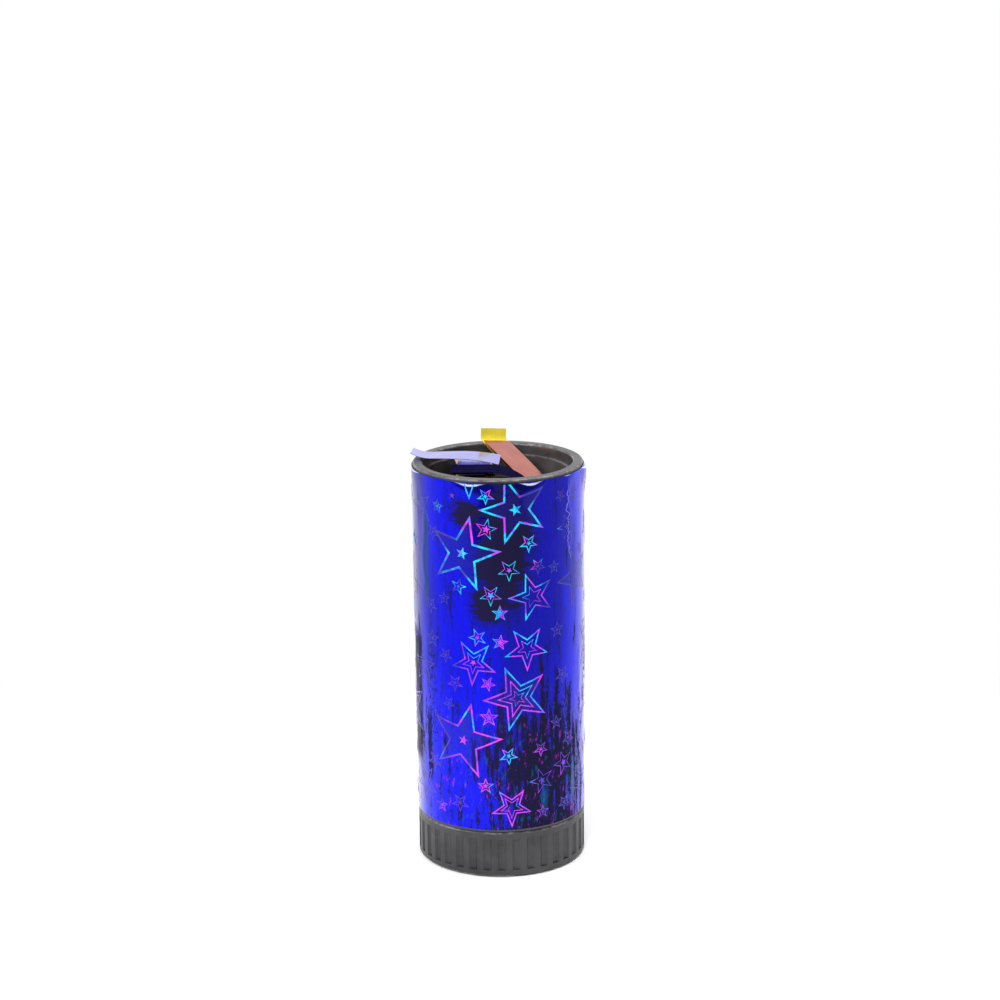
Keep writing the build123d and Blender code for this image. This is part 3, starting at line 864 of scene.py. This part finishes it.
def trim_to_foil(mesh, strip=0.0):
    """Cuts a flat pattern off a little inside the foil's edges, and in strips that can follow the barrel."""
    form = bmesh.new()
    form.from_mesh(mesh)

    def cut(point, outwards, clear):
        everything = form.verts[:] + form.edges[:] + form.faces[:]
        bmesh.ops.bisect_plane(form, geom=everything, plane_co=point, plane_no=outwards, clear_outer=clear)

    cut((0, foil_high - star_margin, 0), (0, 1, 0), True)
    cut((0, foil_low + star_margin, 0), (0, -1, 0), True)
    cut((foil_end - star_margin, 0, 0), (1, 0, 0), True)
    cut((-foil_end + star_margin, 0, 0), (-1, 0, 0), True)
    for number in range(1, math.ceil(2 * foil_end / strip) if strip else 0):
        cut((number * strip - foil_end, 0, 0), (1, 0, 0), False)
    bmesh.ops.triangulate(form, faces=form.faces[:])
    form.to_mesh(mesh)
    form.free()


def make_flat_foil():
    form = bmesh.new()
    columns = round(2 * foil_end / foil_step)
    rows = round((foil_high - foil_low) / foil_step)
    place = Matrix.Translation((0, (foil_low + foil_high) / 2, 0)) @ Matrix.Diagonal(
        (foil_end, (foil_high - foil_low) / 2, 1, 1))
    bmesh.ops.create_grid(form, x_segments=columns, y_segments=rows, size=1.0, matrix=place)
    mesh = bpy.data.meshes.new("flat_foil")
    form.to_mesh(mesh)
    form.free()
    return mesh


# Slips

slip_columns = 26
slip_rows = 8
dip_from = 0.05
loose_bow = 0.24 * mm
loose_cup = 0.16 * mm
loose_twist = 0.18 * mm
backwards = Vector((0, 1, 0))
leftwards = Vector((-1, 0, 0))


def slip_islands(node):
    """Corner points of each slip of a node, lowest slip first."""
    form = bmesh.new()
    form.from_mesh(nodes[node].data)
    bmesh.ops.remove_doubles(form, verts=form.verts[:], dist=corner_weld)
    islands = []
    left = list(form.verts)
    while left:
        reached = [left.pop()]
        for vert in reached:
            for edge in vert.link_edges:
                other = edge.other_vert(vert)
                if other in left:
                    left.remove(other)
                    reached.append(other)
        islands.append([vert.co.copy() for vert in reached])
    form.free()
    return sorted(islands, key=lambda points: sum(point.z for point in points) / len(points))


def slip_place(points, towards):
    """Middle, length, its axis, width axis and upward normal of a flat slip that runs towards a direction."""
    middle = sum(points, Vector()) / len(points)
    steps = sorted((point - points[0] for point in points[1:]), key=lambda step: step.length)
    width, length = steps[1], steps[3]
    normal = length.cross(width).normalized()
    if normal.z < 0:
        normal = -normal
    axis = (length - normal * length.dot(normal)).normalized()
    if axis.dot(towards) < 0:
        axis = -axis
    return middle, length.length, axis, normal.cross(axis), normal


def add_slip(form, layer, shape, material_number):
    """Closed thin sheet: shape(along, across) gives a point and its normal, both shares from -0.5 to 0.5."""
    upper, lower = {}, {}
    for side, grid in ((0.5, upper), (-0.5, lower)):
        for i in range(slip_columns + 1):
            for j in range(slip_rows + 1):
                point, normal = shape(i / slip_columns - 0.5, j / slip_rows - 0.5)
                grid[i, j] = form.verts.new(point + normal * (side * slip_thickness))

    def face(corners, places):
        made = form.faces.new(corners)
        made.smooth = True
        made.material_index = material_number
        for loop, (i, j) in zip(made.loops, places):
            loop[layer].uv = (i / slip_columns, j / slip_rows)

    for i in range(slip_columns):
        for j in range(slip_rows):
            places = [(i, j), (i + 1, j), (i + 1, j + 1), (i, j + 1)]
            face([upper[place] for place in places], places)
            places.reverse()
            face([lower[place] for place in places], places)
    rim = [(i, 0) for i in range(slip_columns)] + [(slip_columns, j) for j in range(slip_rows)]
    rim += [(i, slip_rows) for i in range(slip_columns, 0, -1)] + [(0, j) for j in range(slip_rows, 0, -1)]
    for here, after in zip(rim, rim[1:] + rim[:1]):
        face([upper[here], lower[here], lower[after], upper[after]], [here, here, after, after])


def flat_slip_shape(points, towards=backwards, bow=0.0, cup=0.0, twist=0.0, dip=0.0, curl=0.0,
                    curl_from=0.5, curl_radius=1.0):
    """Slip at its solid's place: bowed, cupped and twisted, its far end turned up and its near end dipped."""
    middle, length, axis, width, normal = slip_place(points, towards)

    def shape(along, across):
        near = max(0.0, -along - dip_from) / (0.5 - dip_from)
        rise = bow * (0.25 - along * along) * 4 + cup * (0.25 - across * across) * 4
        rise += twist * along * across * 4 - dip * near * near
        slope = (-8 * bow * along + twist * across * 4 + 2 * dip * near / (0.5 - dip_from)) / length
        side_slope = (-8 * cup * across + twist * along * 4) / slip_width
        past = max(0.0, along - curl_from) * length
        turn = min(curl, past / curl_radius)
        straight = past - turn * curl_radius
        reach = min(along, curl_from) * length + curl_radius * math.sin(turn) + straight * math.cos(turn)
        rise += curl_radius * (1 - math.cos(turn)) + straight * math.sin(turn)
        point = middle + axis * reach + width * (across * slip_width) + normal * rise
        tilt = normal - axis * slope - width * side_slope
        return point, (tilt.normalized() * math.cos(turn) - axis * math.sin(turn)).normalized()

    return shape


def loose_shapes(node, seed):
    """Slips of a node, each a little bowed, cupped and twisted in its own way."""
    shapes = []
    for number, points in enumerate(slip_islands(node)):
        turn = seed + number * 2.3
        shapes.append(flat_slip_shape(
            points, bow=loose_bow * math.sin(turn), cup=loose_cup * math.cos(turn * 1.7),
            twist=loose_twist * math.sin(turn * 2.9)))
    return shapes


def bent_slip_shape(points, stack_normal):
    """Slip that lies level on the stack and then curls down to the right."""
    width = (stack_normal * stack_normal.y - backwards).normalized()
    length = -leftwards
    start = min(point.dot(length) for point in points)
    level = max(point.dot(stack_normal) for point in points) - slip_thickness / 2
    sides = [point.dot(width) for point in points]
    middle_across = (min(sides) + max(sides)) / 2

    def shape(along, across):
        run = (along + 0.5) * slip_length
        bend = max(0.0, run - bent_slip_flat) / bent_slip_radius
        reach = min(run, bent_slip_flat) + bent_slip_radius * math.sin(bend)
        drop = bent_slip_radius * (1 - math.cos(bend))
        point = length * (start + reach) + width * (middle_across + across * slip_width)
        point += stack_normal * (level - drop)
        return point, stack_normal * math.cos(bend) + length * math.sin(bend)

    return shape


def make_slips(node, films):
    """One piece for a node's slips, given as (material, shapes)."""
    mesh = bpy.data.meshes.new(node + "_film")
    form = bmesh.new()
    layer = form.loops.layers.uv.new("slip")
    for number, (material, shapes) in enumerate(films):
        mesh.materials.append(material)
        for shape in shapes:
            add_slip(form, layer, shape, number)
    bmesh.ops.recalc_face_normals(form, faces=form.faces[:])
    for edge in form.edges:
        if edge.calc_face_angle(0.0) > sharp_angle:
            edge.smooth = False
    form.to_mesh(mesh)
    form.free()
    return new_piece(node + "_film", mesh)


# Spring

def spring_height(turn, rise):
    """Height above the first turn: one close turn at each end, half a turn of ramp, open turns between."""
    if turn > spring_turns / 2:
        return rise - spring_height(spring_turns - turn, rise)
    end_rise = close_pitch * (2 * dead_turns + ramp_turns)
    open_pitch = (rise - end_rise) / (spring_turns - 2 * dead_turns - ramp_turns)
    in_ramp = min(max(turn - dead_turns, 0.0), ramp_turns)
    height = close_pitch * (min(turn, dead_turns) + in_ramp)
    height += (open_pitch - close_pitch) * in_ramp ** 2 / (2 * ramp_turns)
    return height + open_pitch * max(turn - dead_turns - ramp_turns, 0.0)


def make_spring_path():
    steps = steps_a_turn * spring_turns
    points = []
    for number in range(steps + 1):
        turn = number / steps_a_turn
        angle = math.tau * turn
        height = spring_low + spring_height(turn, spring_high - spring_low)
        points.append((spring_r * math.cos(angle), spring_r * math.sin(angle), height))
    mesh = bpy.data.meshes.new("spring_path")
    mesh.from_pydata(points, [(i, i + 1) for i in range(steps)], [])
    return mesh


# Stage: camera, floor, light

camera_place = (0.00058, -0.74842, 0.30140)
camera_lens = 95.4
camera_sensor = 36.0
camera_clip = 0.01
camera_tilt = math.radians(14.5)
camera_roll = math.radians(-0.65)
floor_corners = ((-4, -0.33, 0), (4, -0.33, 0), (4, 5, 0), (-4, 5, 0))
floor_grey = (0.93, 0.93, 0.93, 1)
white = (1, 1, 1, 1)
shadow_full = 0.07
shadow_gone = 0.24
fill_level = 0.62
dim_level = 0.30
lamp_aim = Vector((0, 0, 0.06))
# Softboxes: place, size, power
softboxes = {
    "left_softbox": ((-0.75, -0.45, 0.8), 0.6, 9.0),
    "top_softbox": ((0.25, 0.15, 1.1), 0.8, 8.0),
    "front_softbox": ((-0.12, -0.75, 0.80), 0.18, 3.0),
}


def make_camera():
    data = bpy.data.cameras.new("camera")
    data.lens = camera_lens
    data.sensor_width = camera_sensor
    data.clip_start = camera_clip
    camera = new_piece("camera", data)
    tilt = Matrix.Rotation(math.pi / 2 - camera_tilt, 4, "X")
    roll = Matrix.Rotation(camera_roll, 4, "Z")
    camera.matrix_world = Matrix.Translation(camera_place) @ tilt @ roll
    bpy.context.scene.camera = camera


def light_path(tree, name):
    return put(tree, "ShaderNodeLightPath", output=name)


def seen_directly(tree):
    """1 for camera, glossy and transmission rays."""
    return largest(*(light_path(tree, f"Is {ray} Ray") for ray in ("Camera", "Glossy", "Transmission")))


def make_floor():
    """Pale floor that keeps the shadow near the popper and is plain white further out."""
    material, tree = new_material("pale_floor")
    tree.nodes.clear()
    away = put(tree, "ShaderNodeVectorMath", {0: object_place(tree)}, "Value", operation="LENGTH")
    share = remap(away, shadow_full, shadow_gone) * seen_directly(tree)
    matt = put(tree, "ShaderNodeBsdfDiffuse", {"Color": floor_grey})
    plain = put(tree, "ShaderNodeEmission", {"Color": white, "Strength": 1.0})
    mix = put(tree, "ShaderNodeMixShader", {0: share, 1: matt, 2: plain})
    add(tree, "ShaderNodeOutputMaterial", {"Surface": mix})
    mesh = bpy.data.meshes.new("floor")
    mesh.from_pydata(floor_corners, [], [(0, 1, 2, 3)])
    mesh.materials.append(material)
    new_piece("floor", mesh)


def make_world():
    """White surround and even fill; low down behind the camera it is dim for glossy rays, as in a studio."""
    world = bpy.data.worlds.new("studio")
    bpy.context.scene.world = world
    world.use_nodes = True
    tree = world.node_tree
    tree.nodes.clear()
    y, z = split(put(tree, "ShaderNodeTexCoord", output="Generated"))[1:]
    dim = remap(y, -0.25, -0.62) * remap(z, 0.32, 0.05) * light_path(tree, "Is Glossy Ray")
    shown = remap(dim, 0.0, 1.0, 1.0, dim_level, smooth=False)
    strength = put(tree, "ShaderNodeMix", {
        0: seen_directly(tree), 2: fill_level, 3: shown}, data_type="FLOAT")
    sky = put(tree, "ShaderNodeBackground", {"Color": white, "Strength": strength})
    add(tree, "ShaderNodeOutputWorld", {"Surface": sky})


def make_lamp(name, place, size, power):
    data = bpy.data.lights.new(name, "AREA")
    data.shape = "DISK"
    data.size = size
    data.energy = power
    lamp = new_piece(name, data)
    aim = (lamp_aim - Vector(place)).to_track_quat("-Z", "Y")
    lamp.matrix_world = Matrix.Translation(place) @ aim.to_matrix().to_4x4()


# Making

def hand_over(piece, body, slot, node=None):
    """Attaches a piece to the body it rides on and hides the solid that it stands for. The colour slot is not
    used.
    """
    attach(piece, body)
    if node:
        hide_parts(node)


bpy.context.scene.view_settings.view_transform = "Standard"
make_camera()
make_floor()
make_world()
for name, softbox in softboxes.items():
    make_lamp(name, *softbox)

make_grain_group()
make_scuff_group()
make_edge_wear_and_highlight_group()
make_foil_streaks_and_painted_light_group()
lay_on_foil = make_lay_on_foil_tree(make_foil_surface_group())
star_pattern = make_star_pattern_tree()
spring_wire = make_spring_tree()

solid_materials = {node: make_plastic(*plastic) for node, plastic in plastics.items()}
solid_materials["wad_disc"] = make_card_material()
for node, material in solid_materials.items():
    nodes[node].data.materials.clear()
    nodes[node].data.materials.append(material)

foil_film = make_foil_material()
star_field = make_field_material()
star_lines = make_star_material()
flat_fields = grown(make_star_marks(big_stars, True), star_pattern, {"Material": star_field}, "flat_fields")
all_stars = big_stars + middle_stars + small_stars
flat_stars = grown(make_star_marks(all_stars), star_pattern, {"Material": star_lines}, "flat_stars")
trim_to_foil(flat_fields, foil_step)
trim_to_foil(flat_stars)
for name, flat, thickness, bottom, material, node in (
    ("star_foil", make_flat_foil(), foil_thickness, -foil_thickness, foil_film, "foil_wrap"),
    ("foil_star_fields", flat_fields, field_thickness, star_bottom, star_field, None),
    ("foil_stars", flat_stars, line_thickness, star_bottom, star_lines, None),
):
    mesh = grown(flat, lay_on_foil, {"Thickness": thickness, "Bottom": bottom, "Material": material}, name)
    hand_over(new_piece(name, mesh), "barrel", "blue_foil", node)

wire_steel = make_steel_material()
spring_mesh = grown(make_spring_path(), spring_wire, {"Material": wire_steel}, "spring_wire")
spring = new_piece("spring_wire", spring_mesh)
hand_over(spring, "base", "spring_steel", "spring")
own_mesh(spring)

lavender = make_slip_material("lavender", (0.40, 0.40, 0.92, 1), (0.30, 0.30, 0.84, 1), 0.22)
# Painted shade: the navy slip is near black and has almost no reflection, for the shade on its back
navy_painted_shade = make_slip_material(
    "navy_painted_shade", (0.003, 0.002, 0.030, 1), (0.002, 0.001, 0.014, 1), 0.4, metal=0.0, clear=0.0)
copper = make_slip_material("copper", (0.56, 0.17, 0.13, 1), (0.46, 0.12, 0.09, 1), 0.15)
gold = make_slip_material("gold", (0.88, 0.72, 0.04, 1), (0.74, 0.54, 0.03, 1), 0.36)
purple = make_slip_material("purple", (0.42, 0.02, 0.62, 1), (0.26, 0.01, 0.42, 1), 0.2)

blue_slips = slip_islands("confetti_blue")
bent_slip = next(points for points in blue_slips if len(points) > 8)
blue_slips.remove(bent_slip)
stack_normal = slip_place(blue_slips[0], backwards)[-1]
blue_shapes = [flat_slip_shape(points, bow=0.2 * mm, cup=-0.12 * mm) for points in blue_slips]
bent_shape = bent_slip_shape(bent_slip, stack_normal)
rim_blue_shape = flat_slip_shape(
    *slip_islands("rim_slip_blue"), leftwards, bow=0.35 * mm, twist=0.3 * mm, dip=1.0 * mm,
    curl=0.55, curl_from=0.26, curl_radius=11.3 * mm)
rim_copper_shape = flat_slip_shape(*slip_islands("rim_slip_copper"), bow=0.15 * mm)
rim_gold_shape = flat_slip_shape(
    *slip_islands("rim_slip_gold"), bow=-0.1 * mm, curl=1.05, curl_from=0.335, curl_radius=2.0 * mm)
slip_films = {
    "confetti_blue": [(lavender, blue_shapes), (navy_painted_shade, [bent_shape])],
    "confetti_copper": [(copper, loose_shapes("confetti_copper", 0.4))],
    "confetti_gold": [(gold, loose_shapes("confetti_gold", 2.1))],
    "confetti_purple": [(purple, loose_shapes("confetti_purple", 3.3))],
    "rim_slip_blue": [(lavender, [rim_blue_shape])],
    "rim_slip_copper": [(copper, [rim_copper_shape])],
    "rim_slip_gold": [(gold, [rim_gold_shape])],
}
for node, films in slip_films.items():
    group, colour = node.rsplit("_", 1)
    body = "barrel" if group == "rim_slip" else "piston"
    hand_over(make_slips(node, films), body, colour + "_slip", node)
